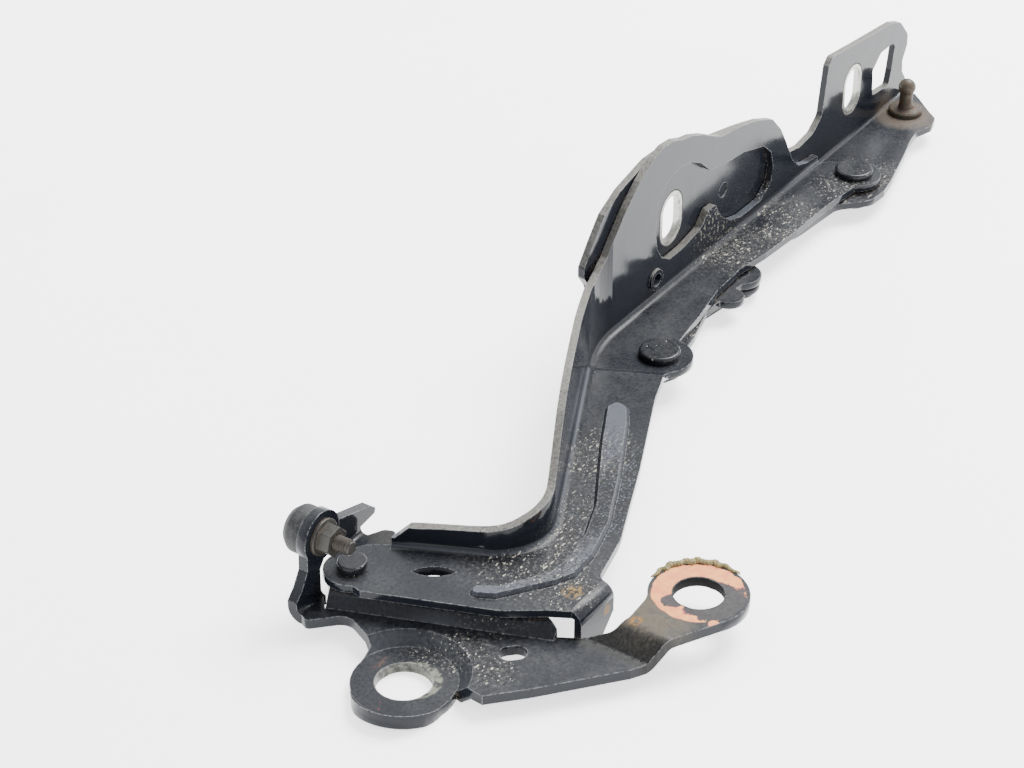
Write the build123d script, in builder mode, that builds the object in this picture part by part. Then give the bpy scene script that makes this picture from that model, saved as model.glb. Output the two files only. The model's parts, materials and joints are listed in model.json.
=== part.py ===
from build123d import *
import math
import os

# Bonnet hinge with a lifting bonnet bracket, lying on its side as it rests on a
# table. Millimetres. The origin is the rear body hole at its mounting face, +X runs
# along the bonnet flange toward the front, +Y toward the bonnet, +Z along the pivots.

os.makedirs("parts", exist_ok=True)

# Sheet thickness of the three pressings
BODY_T = 4.0
ARM_T = 3.0
BONNET_T = 3.0

# Pivot axes in plan
MAIN_PIVOT = (27.0, 41.5)
ARM_LINK_PIVOT = (212.0, 28.0)
DEPLOY_PIVOT = (389.0, 35.0)
LINK_JOINT = (291.0, 37.0)
BRACKET_LINK_PIVOT = (226.0, 46.0)

# Heights of the underside of each flat area
EAR_A_Z = 0.0
PLATE_Z = 4.5
SEAT_Z = 10.0
EAR_B_Z = 11.0
ARM_Z = 15.0
ARM_LOW_Z = 11.0
ARM_TOP = ARM_Z + ARM_T
BONNET_Z = 7.0
LOWER_LINK_Z = 7.0
UPPER_LINK_Z = 3.5
LINK_T = 3.0
UPPER_LINK_T = 2.5

# Running and assembly clearances on radius
FIT = 0.05

# Body mounting holes
EAR_B = (85.9, -64.9)
EAR_R = 18.5
EAR_B_R = 18.0
EAR_A_LOBE = (-5.3, -1.8)
EAR_LOBE_R = 16.5
HOLE_A_R = 10.0
HOLE_A_FLATS = 19.6
HOLE_B_R = 9.2
HOLE_B_FLATS = 18.0

# Walls of the arm and of the bonnet bracket
ARM_WALL_Y = 53.0
BONNET_WALL_Y = 56.4
FOLD_IN = 3.0
FOLD_OUT = FOLD_IN + ARM_T
BONNET_FOLD = 5.0

# Bonnet fixing slots, centres as (x, z)
SLOT_1 = (266.0, 42.0)
SLOT_2 = (424.6, 34.5)
SLOT_W = 13.5
SLOT_L = 20.5

# Stop screw on the rear ear, axis along Y
STOP_XZ = (21.0, 32.0)
STOP_EAR_Y = 49.5

# Gas strut ball stud
BALL_STUD = (461.6, 46.4)
BALL_R = 4.0
BALL_Z = 23.0


def flat(points):
    """Closed polygon kept at its own coordinates."""
    return Polygon(*points, align=None)


def round_corners(builder, corners):
    """Round named corners of the sketch being drawn: a list of (point, radius)."""
    for point, radius in corners:
        fillet(builder.vertices().sort_by_distance(point)[0], radius)


def bend(corner, length, height, sheet_t):
    """Square-cornered L of sheet in the YZ plane with its bend rounded.
    corner is the outer (y, z) corner, the sheet runs back by length and up by height."""
    y, z = corner
    flat(
        [
            (y - length, z), (y, z), (y, z + height), (y - sheet_t, z + height),
            (y - sheet_t, z + sheet_t), (y - length, z + sheet_t),
        ]
    )


def turned(centre, profile):
    """Solid of revolution about a vertical axis from (radius, height) points."""
    with BuildPart() as solid:
        with BuildSketch(Plane(origin=(*centre, 0), x_dir=(1, 0, 0), z_dir=(0, -1, 0))):
            flat([(r, z) for r, z in profile])
        revolve(axis=Axis((*centre, 0), (0, 0, 1)))
    return solid


def ring(centre, z, height, hole_r, outer_r):
    """Plain washer or bush."""
    return turned(
        centre,
        [(hole_r, z), (outer_r, z), (outer_r, z + height), (hole_r, z + height)],
    )


# Body bracket, rear ear: a round pad joggled up to the main plate
with BuildPart() as ear_a_zone:
    with BuildSketch() as ear_a_plan:
        flat(
            [
                (0, -18.5), (6, -17.5), (4.5, -24.6), (4, -29.5), (16.2, -41),
                (43.6, -63.6), (49, -66.6), (49, -40.8), (48, -39), (44.6, -33),
                (41.5, -33), (13.6, 40), (12.6, 43), (15.5, 45.5), (17.5, 47.5),
                (5, 47.5), (3.5, 44.5), (14.3, 34), (7.5, 19.5), (0, 18.5),
            ]
        )
        Circle(EAR_R)
        with Locations(EAR_A_LOBE):
            Circle(EAR_LOBE_R)
        round_corners(
            ear_a_plan,
            [((4.5, -24.6), 5), ((14.3, 34), 6), ((3.5, 44.5), 2), ((16.2, -41), 12)],
        )
    extrude(amount=20)
    with BuildSketch(Plane.XZ):
        flat(
            [
                (0, EAR_A_Z), (20.5, EAR_A_Z), (25, PLATE_Z), (95, PLATE_Z),
                (95, PLATE_Z + BODY_T), (23.34, PLATE_Z + BODY_T), (18.84, BODY_T),
                (0, BODY_T),
            ]
        )
    revolve(axis=Axis.Z, mode=Mode.INTERSECT)

# Body bracket, pivot seat: the plate slopes up under the arm
SEAT_PLANE = Plane(origin=(0, 0, 0), x_dir=(0.934, 0.358, 0), z_dir=(0.358, -0.934, 0))
with BuildPart() as seat_zone:
    with BuildSketch() as seat_plan:
        flat(
            [
                (41.5, -33), (44.6, -33), (51, -15.4), (52, -12), (41, 12),
                (40.5, 36), (52, 41), (57.4, 45.2), (56, 49), (50, 52), (35, 52),
                (27, 52), (23, 50.3), (17.5, 44.5), (12.6, 43), (13.6, 40),
            ]
        )
        round_corners(
            seat_plan,
            [((57.4, 45.2), 1.5), ((56, 49), 3), ((40.5, 36), 4), ((41, 12), 10)],
        )
    extrude(amount=30)
    with BuildSketch(SEAT_PLANE) as seat_side:
        flat(
            [
                (20, PLATE_Z), (29.5, PLATE_Z), (33.5, SEAT_Z), (90, SEAT_Z),
                (90, SEAT_Z + BODY_T), (31.5, SEAT_Z + BODY_T),
                (27.5, PLATE_Z + BODY_T), (20, PLATE_Z + BODY_T),
            ]
        )
        round_corners(
            seat_side,
            [((29.5, PLATE_Z), 4), ((31.5, SEAT_Z + BODY_T), 4), ((33.5, SEAT_Z), 1)],
        )
    extrude(amount=120, both=True, mode=Mode.INTERSECT)

# Body bracket, front ear: joggled up along X
with BuildPart() as ear_b_zone:
    with BuildSketch() as ear_b_plan:
        flat(
            [
                (49, -40.8), (54, -50.5), (61, -52), (77, -51), (84, -48.5), (90, -60),
                (79, -81.5), (57.6, -70), (49, -66.6),
            ]
        )
        with Locations(EAR_B):
            Circle(EAR_B_R)
        round_corners(ear_b_plan, [((54, -50.5), 6), ((77, -51), 10)])
    extrude(amount=30)
    with BuildSketch(Plane.XZ) as ear_b_side:
        flat(
            [
                (40, PLATE_Z), (50.5, PLATE_Z), (58.5, EAR_B_Z), (120, EAR_B_Z),
                (120, EAR_B_Z + BODY_T), (57, EAR_B_Z + BODY_T),
                (49, PLATE_Z + BODY_T), (40, PLATE_Z + BODY_T),
            ]
        )
        round_corners(
            ear_b_side,
            [
                ((50.5, PLATE_Z), 7), ((49, PLATE_Z + BODY_T), 3),
                ((58.5, EAR_B_Z), 3), ((57, EAR_B_Z + BODY_T), 7),
            ],
        )
    extrude(amount=120, both=True, mode=Mode.INTERSECT)

STOP_EAR_OUT = STOP_EAR_Y + BODY_T
TAB_OUT = 59.0
BEND_RUN = 7.5
with BuildPart() as body_bracket:
    add(ear_a_zone.part)
    add(seat_zone.part)
    add(ear_b_zone.part)
    # Stop ear turned up at the rear end
    with BuildSketch(Plane.YZ.offset(5)) as stop_bend:
        bend((STOP_EAR_OUT, PLATE_Z), 6, BEND_RUN, BODY_T)
        round_corners(
            stop_bend,
            [((STOP_EAR_OUT, PLATE_Z), 5.5), ((STOP_EAR_Y, PLATE_Z + BODY_T), 1.8)],
        )
    extrude(amount=14)
    with BuildSketch(Plane.XZ.offset(-STOP_EAR_OUT)):
        flat(
            [
                (5, 11), (19, 11), (19, 19), (22, 23), (27, 26), (27, 32), (12.4, 32),
                (12, 22), (8.5, 16), (5, 12.5),
            ]
        )
        with Locations(STOP_XZ):
            Circle(9.8)
    extrude(amount=BODY_T)
    # Tab that the arm meets when it is fully open
    with BuildSketch(Plane.YZ.offset(35)) as tab_bend:
        bend((TAB_OUT, SEAT_Z), TAB_OUT - 52, BEND_RUN, BODY_T)
        round_corners(
            tab_bend,
            [((TAB_OUT, SEAT_Z), 5.5), ((TAB_OUT - BODY_T, SEAT_Z + BODY_T), 1.8)],
        )
    extrude(amount=15)
    with BuildSketch(Plane.XZ.offset(-TAB_OUT)) as tab_face:
        flat(
            [
                (35, 16.5), (51, 16.5), (58.5, 17.5), (59, 19.5), (56.5, 21.8),
                (37, 27.3), (35, 26),
            ]
        )
        round_corners(tab_face, [((58.5, 17.5), 1), ((56.5, 21.8), 1.5)])
    extrude(amount=BODY_T)
    # Body fixing holes, pivot hole, stop screw hole and the small locating hole
    for centre, radius, flats, turn in (
        ((0, 0), HOLE_A_R, HOLE_A_FLATS, -12),
        (EAR_B, HOLE_B_R, HOLE_B_FLATS, 90),
    ):
        with BuildSketch(Plane.XY.offset(-1)):
            with Locations(centre):
                Circle(radius)
                Rectangle(3 * radius, flats, rotation=turn, mode=Mode.INTERSECT)
        extrude(amount=18, mode=Mode.SUBTRACT)
    with BuildSketch(Plane.XY.offset(-1)):
        with Locations(MAIN_PIVOT):
            Circle(4 + FIT)
        with Locations((28.8, -25.3)):
            SlotOverall(10, 7.5, rotation=-45)
    extrude(amount=18, mode=Mode.SUBTRACT)
    with BuildSketch(Plane.XZ.offset(-60)):
        with Locations(STOP_XZ):
            Circle(3 + FIT)
    extrude(amount=12, mode=Mode.SUBTRACT)

# Arm, fold line of the wall in plan. The flange steps down between two stations of
# the middle stretch, measured from P2 along it.
P1 = (45.8, 38.2)
P2 = (68.7, -12.9)
P3 = (201.7, ARM_WALL_Y)
P4 = (388.0, ARM_WALL_Y)
CORNER_R = 22.0
SWEEP_R = 60.0
STEP_START = 125.7
STEP_END = 133.7
REAR_DIR = (Vector(*P2) - Vector(*P1)).normalized()
FOLD_DIR = (Vector(*P3) - Vector(*P2)).normalized()
STEP_TOP = Vector(*P2) + FOLD_DIR * STEP_START
STEP_FOOT = Vector(*P2) + FOLD_DIR * STEP_END
STEP_SIDE = Plane(origin=(*P2, 0), x_dir=FOLD_DIR, z_dir=(FOLD_DIR.Y, -FOLD_DIR.X, 0))

ARM_OUTLINE = [
    P1, P2, P3, P4, (396, 46), (389, 35), (378, 29), (356, 31), (330, 31.2),
    (306, 32.6), (288, 35), (268, 34), (247, 30.1), (226, 27), (212, 20),
    (199.5, 17.4), (178.5, 9.7), (135.1, -10.3), (94, -27.7), (70, -33.5),
    (70, -40), (49, -40), (49, -36), (45.2, -29), (35.6, -15.3), (29.2, 1.2),
    (17.7, 31.3), (20, 41.5), (33, 49.8), (40.5, 45.9),
]
ARM_ROUNDS = [
    (P2, CORNER_R), (P3, SWEEP_R), ((94, -27.7), 40), ((35.6, -15.3), 25),
    ((45.2, -29), 6), ((29.2, 1.2), 40), ((70, -33.5), 4), ((199.5, 17.4), 12),
    ((396, 46), 6), ((40.5, 45.9), 6),
]
with BuildPart() as arm_flange:
    with BuildSketch() as arm_plan:
        flat(ARM_OUTLINE)
        round_corners(arm_plan, ARM_ROUNDS)
        with Locations(MAIN_PIVOT):
            Circle(10.5)
        with Locations(ARM_LINK_PIVOT):
            Circle(13.5)
        with Locations(DEPLOY_PIVOT):
            Circle(12)
    extrude(amount=40)
    with BuildSketch(STEP_SIDE):
        flat(
            [
                (-120, ARM_Z), (STEP_START, ARM_Z), (STEP_END, ARM_LOW_Z),
                (400, ARM_LOW_Z), (400, ARM_LOW_Z + ARM_T),
                (STEP_END, ARM_LOW_Z + ARM_T), (STEP_START, ARM_Z + ARM_T),
                (-120, ARM_Z + ARM_T),
            ]
        )
    extrude(amount=300, both=True, mode=Mode.INTERSECT)

WALL_TOP = [
    (40, 5), (40, 26), (49.7, 26), (53, 26.8), (60, 27.6), (66, 29),
    (72, 31), (80, 32.6), (87, 33.8), (92, 35.5), (98, 39), (106, 44), (113, 48),
    (122, 51), (133, 52.6), (150, 53), (164, 52.8), (176, 50.5), (188, 47.3),
    (198, 46.2), (204, 47.2), (211, 50.8), (217, 57), (225, 65.5), (235, 73.8),
    (245, 79.5), (253, 81.7), (261, 81), (267, 78.6), (275, 77), (284, 73.6),
    (295, 68), (300, 66), (317, 63.5), (331, 60), (343.6, 55), (351.5, 47),
    (357, 38.5), (364, 26.5), (370, 21), (378, 18.6), (388, 17.6), (388, 5),
]
WINDOW = [
    (249, 56), (248.6, 44), (250, 36), (254, 30), (260.5, 26.3), (272, 26.6),
    (285, 29), (291, 35), (297, 35), (300, 30), (304, 25.5), (311, 21), (320, 18.6),
    (337, 18.6), (345, 24), (346.4, 31), (344, 39), (337, 45), (319, 50),
    (303, 51.5), (291, 54), (283, 61), (275, 65), (266, 66.5), (256, 64),
]
ARM_SMALL_HOLE = (248.9, 22.4)
COLLAR_R = 4.6
COLLAR_H = 1.2

with BuildPart() as arm_wall:
    with BuildSketch(Plane.XY.offset(ARM_LOW_Z)):
        with BuildLine() as wall_line:
            Polyline(P1, P2, P3, P4)
            fillet(wall_line.vertices().sort_by_distance(P2)[0], CORNER_R)
            fillet(wall_line.vertices().sort_by_distance(P3)[0], SWEEP_R)
            offset(amount=ARM_T, side=Side.LEFT)
        make_face()
    extrude(amount=90)
    with BuildSketch(Plane.XZ):
        flat(WALL_TOP)
    extrude(amount=200, both=True, mode=Mode.INTERSECT)
    # The wall's lower edge follows the underside of the flange
    with BuildSketch(STEP_SIDE):
        flat(
            [
                (-120, ARM_Z), (STEP_START, ARM_Z), (STEP_END, ARM_LOW_Z),
                (400, ARM_LOW_Z), (400, 120), (-120, 120),
            ]
        )
    extrude(amount=300, both=True, mode=Mode.INTERSECT)
    # The wall's rear end slopes up from the flange
    with BuildSketch(Plane(origin=(*P1, 0), x_dir=REAR_DIR, z_dir=(REAR_DIR.Y, -REAR_DIR.X, 0))):
        flat([(-2, 18), (12, 31.4), (12, 45), (-2, 45)])
    extrude(amount=12, both=True, mode=Mode.SUBTRACT)


def fold_plane(point, direction, z):
    """Plane across the fold line: x to the left of the direction, y up."""
    left = (-direction.Y, direction.X, 0)
    return Plane(origin=(point[0], point[1], z), x_dir=left, z_dir=direction)


def outer_corner():
    """What the outer radius of the fold takes off a square corner."""
    with BuildSketch(mode=Mode.PRIVATE) as corner:
        flat([(-FOLD_IN, -1), (ARM_T + 1, -1), (ARM_T + 1, FOLD_OUT), (-FOLD_IN, FOLD_OUT)])
        with Locations((-FOLD_IN, FOLD_OUT)):
            Circle(FOLD_OUT, mode=Mode.SUBTRACT)
    return corner.sketch


def inner_fillet():
    """What the inner radius of the fold adds in a square corner."""
    with BuildSketch(mode=Mode.PRIVATE) as corner:
        flat([(-FOLD_IN, ARM_T - 1), (1, ARM_T - 1), (1, FOLD_OUT), (-FOLD_IN, FOLD_OUT)])
        with Locations((-FOLD_IN, FOLD_OUT)):
            Circle(FOLD_IN, mode=Mode.SUBTRACT)
    return corner.sketch


STEP_RUN = STEP_FOOT - STEP_TOP + Vector(0, 0, ARM_LOW_Z - ARM_Z)


def along_fold(section):
    """The section carried along the upper fold, down the step and along the lower one."""
    with BuildPart() as solid:
        with BuildLine(Plane.XY.offset(ARM_Z)) as upper:
            Polyline(P1, P2, (STEP_TOP.X, STEP_TOP.Y))
            fillet(upper.vertices().sort_by_distance((*P2, ARM_Z))[0], CORNER_R)
        with BuildSketch(fold_plane(P1, REAR_DIR, ARM_Z)):
            add(section)
        sweep(path=upper.line)
        with BuildSketch(fold_plane((STEP_TOP.X, STEP_TOP.Y), FOLD_DIR, ARM_Z)):
            add(section)
        extrude(amount=STEP_RUN.length, dir=STEP_RUN)
        with BuildLine(Plane.XY.offset(ARM_LOW_Z)) as lower:
            Polyline((STEP_FOOT.X, STEP_FOOT.Y), P3, P4)
            fillet(lower.vertices().sort_by_distance((*P3, ARM_LOW_Z))[0], SWEEP_R)
        with BuildSketch(fold_plane((STEP_FOOT.X, STEP_FOOT.Y), FOLD_DIR, ARM_LOW_Z)):
            add(section)
        sweep(path=lower.line)
    return solid.part


# Lanced slot between the pivot and the bead
LANCED_SLOT = (41.2, 16.5)
LANCED_DIR = (0.545, -0.839, 0)
LANCED_L = 16.0
LANCED_W = 5.6
LIP_SLOPE = 22

# Stiffening bead of the arm, pressed up from below
RIB = [
    (35.5, -2), (40, -10.5), (57.5, -23), (66, -27), (79, -26), (99, -20.5),
    (127, -7.5), (157, 8), (166.5, 14), (168, 20), (162, 22), (139.6, 10.5),
    (105, -9), (88, -15.5), (71, -18.5), (62, -17.5), (46, -7.5), (41, 0.5),
]
RIB_H = 1.8
RIB_TAPER = 35

with BuildPart() as hinge_arm:
    add(arm_flange.part)
    add(arm_wall.part)
    add(along_fold(inner_fillet()))
    add(along_fold(outer_corner()), mode=Mode.SUBTRACT)
    # Closed stop turned down from the outer edge
    with BuildSketch(Plane.YZ.offset(49)) as tab_section:
        flat(
            [
                (-34, ARM_TOP), (-40, ARM_TOP), (-40, 0.5), (-37, 0.5),
                (-37, ARM_Z), (-34, ARM_Z),
            ]
        )
    extrude(amount=21)
    with BuildSketch(Plane.YZ.offset(40)):
        flat(
            [
                (-41, ARM_TOP - 5), (-41, ARM_TOP + 1), (-35, ARM_TOP + 1),
                (-35, ARM_TOP - 5),
            ]
        )
        with Locations((-35, ARM_TOP - 5)):
            Circle(5, mode=Mode.SUBTRACT)
    extrude(amount=40, mode=Mode.SUBTRACT)
    with BuildSketch(Plane.XZ.offset(41)):
        flat([(48, -1), (48, 5), (54, -1)])
        flat([(71, -1), (71, 8), (62, -1)])
    extrude(amount=-5, mode=Mode.SUBTRACT)
    # Bead
    with BuildSketch(Plane.XY.offset(ARM_Z + ARM_T)) as rib_top:
        flat(RIB)
        fillet(rib_top.vertices(), 3)
    extrude(amount=RIB_H, taper=RIB_TAPER)
    with BuildSketch(Plane.XY.offset(ARM_Z)) as rib_under:
        flat(RIB)
        fillet(rib_under.vertices(), 3)
    extrude(amount=RIB_H, taper=RIB_TAPER, mode=Mode.SUBTRACT)
    # Window and small hole in the wall
    with BuildSketch(Plane.XZ.offset(-ARM_WALL_Y + 1)) as window_face:
        flat(WINDOW)
        fillet(window_face.vertices(), 1.5)
    extrude(amount=-10, mode=Mode.SUBTRACT)
    with BuildSketch(Plane.XZ.offset(-ARM_WALL_Y - 1)):
        with Locations(ARM_SMALL_HOLE):
            Circle(COLLAR_R)
    extrude(amount=COLLAR_H + 1)
    with BuildSketch(Plane.XZ.offset(-ARM_WALL_Y - ARM_T)):
        with Locations(ARM_SMALL_HOLE):
            Circle(2.9)
    extrude(amount=ARM_T + COLLAR_H, mode=Mode.SUBTRACT)
    # Lanced slot: an eye with lips that slope down to a narrow slit
    with BuildSketch(Plane.XY.offset(ARM_Z + ARM_T)):
        with BuildLine(Plane(origin=(*LANCED_SLOT, 0), x_dir=LANCED_DIR)):
            ThreePointArc((-LANCED_L / 2, 0), (0, LANCED_W / 2), (LANCED_L / 2, 0))
            ThreePointArc((LANCED_L / 2, 0), (0, -LANCED_W / 2), (-LANCED_L / 2, 0))
        make_face()
    extrude(amount=-ARM_T, taper=LIP_SLOPE, mode=Mode.SUBTRACT)
    # Pivot holes
    with BuildSketch(Plane.XY.offset(5)):
        with Locations(MAIN_PIVOT):
            Circle(5.2 + FIT)
        with Locations(ARM_LINK_PIVOT):
            Circle(4 + FIT)
        with Locations(DEPLOY_PIVOT):
            Circle(6 + FIT)
    extrude(amount=20, mode=Mode.SUBTRACT)

# Bonnet bracket: a tall wall that bolts under the bonnet and a flange with the pivot
BONNET_WALL = [
    (200, 45.5), (200, 50), (206.5, 58.4), (214.3, 67.3), (226, 73), (246, 77.5),
    (268, 77), (284, 71.5), (296, 66), (317, 61.5), (331, 58), (341, 53), (348, 45),
    (354, 36), (361, 29), (377, 26), (388.8, 27.5), (396.5, 33), (398.5, 46.5),
    (400, 56), (403.5, 59.2), (422.4, 57), (461, 53), (470, 50), (479, 40.5),
    (479.2, 35), (475.5, 28.5), (476.1, 22.4), (481, 16), (481, 7), (306, 7),
    (296, 13), (246, 15), (236, 7), (217, 7), (212, 20), (204, 40),
]
BONNET_WINDOW = [
    (444.5, 35.7), (452, 41.7), (463, 41.9), (466.2, 40), (464.2, 28), (462.2, 20.9),
    (446, 22.4),
]
BONNET_FLANGE = [
    (310, 59.4), (310, 46), (322, 38), (336, 33.3), (366, 31), (378, 20),
    (389, 19.5), (400, 21.5), (423.8, 27.5), (437.7, 31.5), (446.5, 33), (456.5, 30),
    (464, 32), (468.5, 37.5), (477, 46.5), (481, 51), (481, 59.4),
]
BONNET_OUT = BONNET_WALL_Y + BONNET_T
with BuildPart() as bonnet_bracket:
    with BuildSketch(Plane.XZ.offset(-BONNET_OUT)) as bonnet_wall_face:
        flat(BONNET_WALL)
        round_corners(
            bonnet_wall_face,
            [
                ((200, 45.5), 2), ((200, 50), 2), ((403.5, 59.2), 3), ((388.8, 27.5), 5),
                ((396.5, 33), 5), ((470, 50), 5), ((479, 40.5), 4), ((246, 77.5), 10),
                ((361, 29), 10), ((296, 13), 5), ((246, 15), 3), ((226, 73), 10),
            ],
        )
    extrude(amount=BONNET_T)
    with BuildSketch(Plane.XY.offset(BONNET_Z)) as bonnet_flange_plan:
        flat(BONNET_FLANGE)
        round_corners(
            bonnet_flange_plan,
            [
                ((310, 46), 6), ((336, 33.3), 20), ((366, 31), 10), ((378, 20), 8),
                ((446.5, 33), 8), ((456.5, 30), 5), ((464, 32), 4),
                ((468.5, 37.5), 4), ((477, 46.5), 4),
            ],
        )
    extrude(amount=BONNET_T)
    # Lug for the limiter link
    with BuildSketch(Plane.XY.offset(BONNET_Z)):
        with Locations(BRACKET_LINK_PIVOT):
            Circle(8)
        flat([(218, 46), (234, 46), (235.5, BONNET_OUT), (217.5, BONNET_OUT)])
    extrude(amount=BONNET_T)
    # Fold: outer radius off the corner, inner radius in it
    with BuildSketch(Plane.YZ.offset(195)):
        y0, z0, r = BONNET_OUT - BONNET_FOLD, BONNET_Z + BONNET_FOLD, BONNET_FOLD
        flat([(y0, BONNET_Z - 1), (BONNET_OUT + 1, BONNET_Z - 1), (BONNET_OUT + 1, z0), (y0, z0)])
        with Locations((y0, z0)):
            Circle(r, mode=Mode.SUBTRACT)
    extrude(amount=300, mode=Mode.SUBTRACT)
    for start, run in ((310, 171), (218, 17)):
        with BuildSketch(Plane.YZ.offset(start)):
            flat([(y0, z0 - 3), (y0 + 3, z0 - 3), (y0 + 3, z0), (y0, z0)])
            with Locations((y0, z0)):
                Circle(BONNET_FOLD - BONNET_T, mode=Mode.SUBTRACT)
        extrude(amount=run)
    # Slots, window and dimple mark
    with BuildSketch(Plane.XZ.offset(-BONNET_OUT - 1)):
        with Locations(SLOT_1, SLOT_2):
            SlotOverall(SLOT_L, SLOT_W, rotation=90)
    extrude(amount=6, mode=Mode.SUBTRACT)
    with BuildSketch(Plane.XZ.offset(-BONNET_OUT - 1)) as bonnet_window_face:
        flat(BONNET_WINDOW)
        fillet(bonnet_window_face.vertices(), 2)
    extrude(amount=6, mode=Mode.SUBTRACT)
    with BuildSketch(Plane.XZ.offset(-BONNET_WALL_Y)):
        with Locations((309, 35.4)):
            Circle(3.4)
    extrude(amount=-0.6, mode=Mode.SUBTRACT)
    with BuildSketch(Plane.XY.offset(0)):
        with Locations(DEPLOY_PIVOT):
            Circle(4.5 + FIT)
        with Locations(BRACKET_LINK_PIVOT):
            Circle(4 + FIT)
        with Locations(BALL_STUD):
            Circle(4 + FIT)
    extrude(amount=20, mode=Mode.SUBTRACT)

# Limiter links
with BuildPart() as limiter_lower_link:
    with BuildSketch(Plane.XY.offset(LOWER_LINK_Z)):
        with BuildLine():
            Polyline(ARM_LINK_PIVOT, (236, 32.5), (256, 38.5), LINK_JOINT)
        trace(line_width=12)
        with Locations((236, 32.5), (256, 38.5)):
            Circle(6)
        with Locations(ARM_LINK_PIVOT):
            Circle(9.5)
        with Locations(LINK_JOINT):
            Circle(9.5)
        with Locations((273, 31.5)):
            Circle(6.5)
        with Locations(ARM_LINK_PIVOT, LINK_JOINT):
            Circle(4 + FIT, mode=Mode.SUBTRACT)
    extrude(amount=LINK_T)

with BuildPart() as limiter_upper_link:
    with BuildSketch(Plane.XY.offset(UPPER_LINK_Z)):
        with BuildLine():
            Line(BRACKET_LINK_PIVOT, LINK_JOINT)
        trace(line_width=13)
        with Locations(BRACKET_LINK_PIVOT):
            Circle(9)
        with Locations(LINK_JOINT):
            Circle(9)
        with Locations(BRACKET_LINK_PIVOT):
            Circle(4 + FIT, mode=Mode.SUBTRACT)
        with Locations(LINK_JOINT):
            Circle(4.5, mode=Mode.SUBTRACT)
    extrude(amount=UPPER_LINK_T)

# Main pivot: pin through arm and seat, collar under the seat
main_pivot_pin = turned(
    MAIN_PIVOT,
    [
        (0, 0), (4, 0), (4, ARM_Z + ARM_T), (5.5, ARM_Z + ARM_T), (5.5, 21),
        (5.1, 21.4), (0, 21.4),
    ],
)
main_pivot_collar = ring(MAIN_PIVOT, 0, SEAT_Z, 4 + FIT, 6.4)
main_pivot_washer = ring(MAIN_PIVOT, SEAT_Z + BODY_T, 1, 4 + FIT, 7.5)
main_pivot_bush = ring(MAIN_PIVOT, ARM_Z, ARM_T, 4 + FIT, 5.2)

# Deploy pivot: arm over bonnet bracket
deploy_pivot_rivet = turned(
    DEPLOY_PIVOT,
    [
        (0, 0), (7.6, 0), (8, 0.6), (8, 5), (4.5, 5), (4.5, 14), (8.4, 14), (8.4, 16.4),
        (7.6, 17), (0, 17),
    ],
)
deploy_pivot_bush = ring(DEPLOY_PIVOT, ARM_LOW_Z, ARM_T, 4.5 + FIT, 6)
deploy_pivot_washer = ring(DEPLOY_PIVOT, BONNET_Z + BONNET_T, 1, 4.5 + FIT, 10)
deploy_lower_washer = ring(DEPLOY_PIVOT, 5, 2, 4.5 + FIT, 9.5)

# Limiter rivets and washers
limiter_arm_rivet = turned(
    ARM_LINK_PIVOT,
    [
        (0, 4), (5.6, 4), (6, 4.6), (6, 7), (4, 7), (4, 14), (8.4, 14), (8.4, 16.4),
        (7.6, 17), (0, 17),
    ],
)
limiter_arm_washer = ring(ARM_LINK_PIVOT, LOWER_LINK_Z + LINK_T, 1, 4 + FIT, 9)
limiter_joint_rivet = turned(
    LINK_JOINT,
    [
        (0, 1), (6.5, 1), (7, 1.6), (7, UPPER_LINK_Z), (4, UPPER_LINK_Z), (4, 10),
        (0, 10),
    ],
)
limiter_joint_washer = ring(LINK_JOINT, 6, 1, 4 + FIT, 8)
limiter_bracket_rivet = turned(
    BRACKET_LINK_PIVOT,
    [
        (0, 1), (6, 1), (6.5, 1.6), (6.5, UPPER_LINK_Z), (4, UPPER_LINK_Z), (4, 10),
        (0, 10),
    ],
)
limiter_bracket_washer = ring(BRACKET_LINK_PIVOT, 6, 1, 4 + FIT, 8)

# Gas strut ball stud, riveted through the flange. The ball is turned in short bands.
FLANGE_TOP = BONNET_Z + BONNET_T
BALL_BANDS = 10
NECK_ANGLE = 50.0
ball_angles = [NECK_ANGLE + (180 - NECK_ANGLE) * i / BALL_BANDS for i in range(BALL_BANDS + 1)]
ball_profile = [
    (BALL_R * math.sin(math.radians(a)), BALL_Z - BALL_R * math.cos(math.radians(a)))
    for a in ball_angles[:-1]
]
NECK_R = ball_profile[0][0]
gas_strut_ball_stud = turned(
    BALL_STUD,
    [
        (0, 5), (6, 5), (6, 7), (4, 7), (4, FLANGE_TOP), (7.8, FLANGE_TOP),
        (7.8, FLANGE_TOP + 2), (7.2, FLANGE_TOP + 2.6), (3.6, FLANGE_TOP + 3),
        (NECK_R, FLANGE_TOP + 5), *ball_profile, (0, BALL_Z + BALL_R),
    ],
)

# Stop screw along Y with its nut, and the rubber buffer on its head
STOP_AXIS = Axis((STOP_XZ[0], 0, STOP_XZ[1]), (0, 1, 0))


def turned_y(profile):
    """Solid of revolution about the stop screw axis from (radius, y) points."""
    with BuildPart() as solid:
        with BuildSketch(Plane(origin=(STOP_XZ[0], 0, STOP_XZ[1]))):
            flat(profile)
        revolve(axis=STOP_AXIS)
    return solid


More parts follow.
